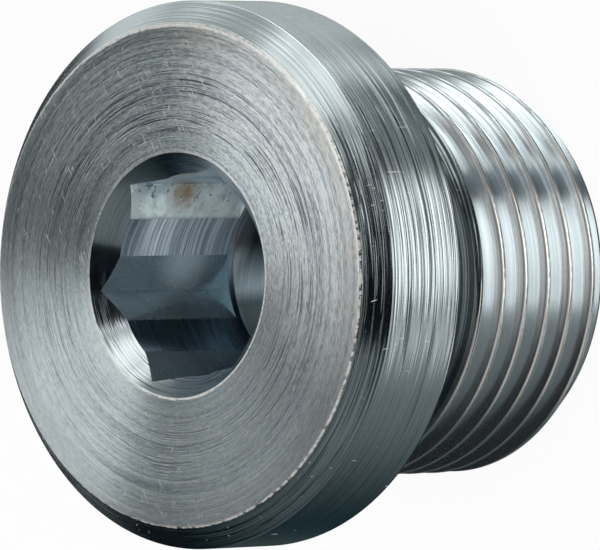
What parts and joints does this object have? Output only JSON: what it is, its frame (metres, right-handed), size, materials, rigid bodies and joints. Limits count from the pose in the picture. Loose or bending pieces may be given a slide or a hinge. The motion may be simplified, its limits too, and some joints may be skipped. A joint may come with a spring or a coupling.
{
  "type": "hex socket plug",
  "caption": "Round collared screw plug with a hexagon socket in its face, a flat sealing face under the collar and a short parallel pipe thread.",
  "frame": {"origin": "on the plug's axis, in the plane of the sealing face under the collar", "axes": "+Z along the plug's axis, out of the hexagon socket, with the threaded stud along -Z; +X through a corner of the hexagon"},
  "size_m": [0.022, 0.022, 0.017],
  "materials": {
    "plated_steel": "turned steel with a thin bright zinc plating, fine turning rings on every face"
  },
  "bodies": {
    "root": {"plug": "plated_steel"}
  },
  "joints": []
}
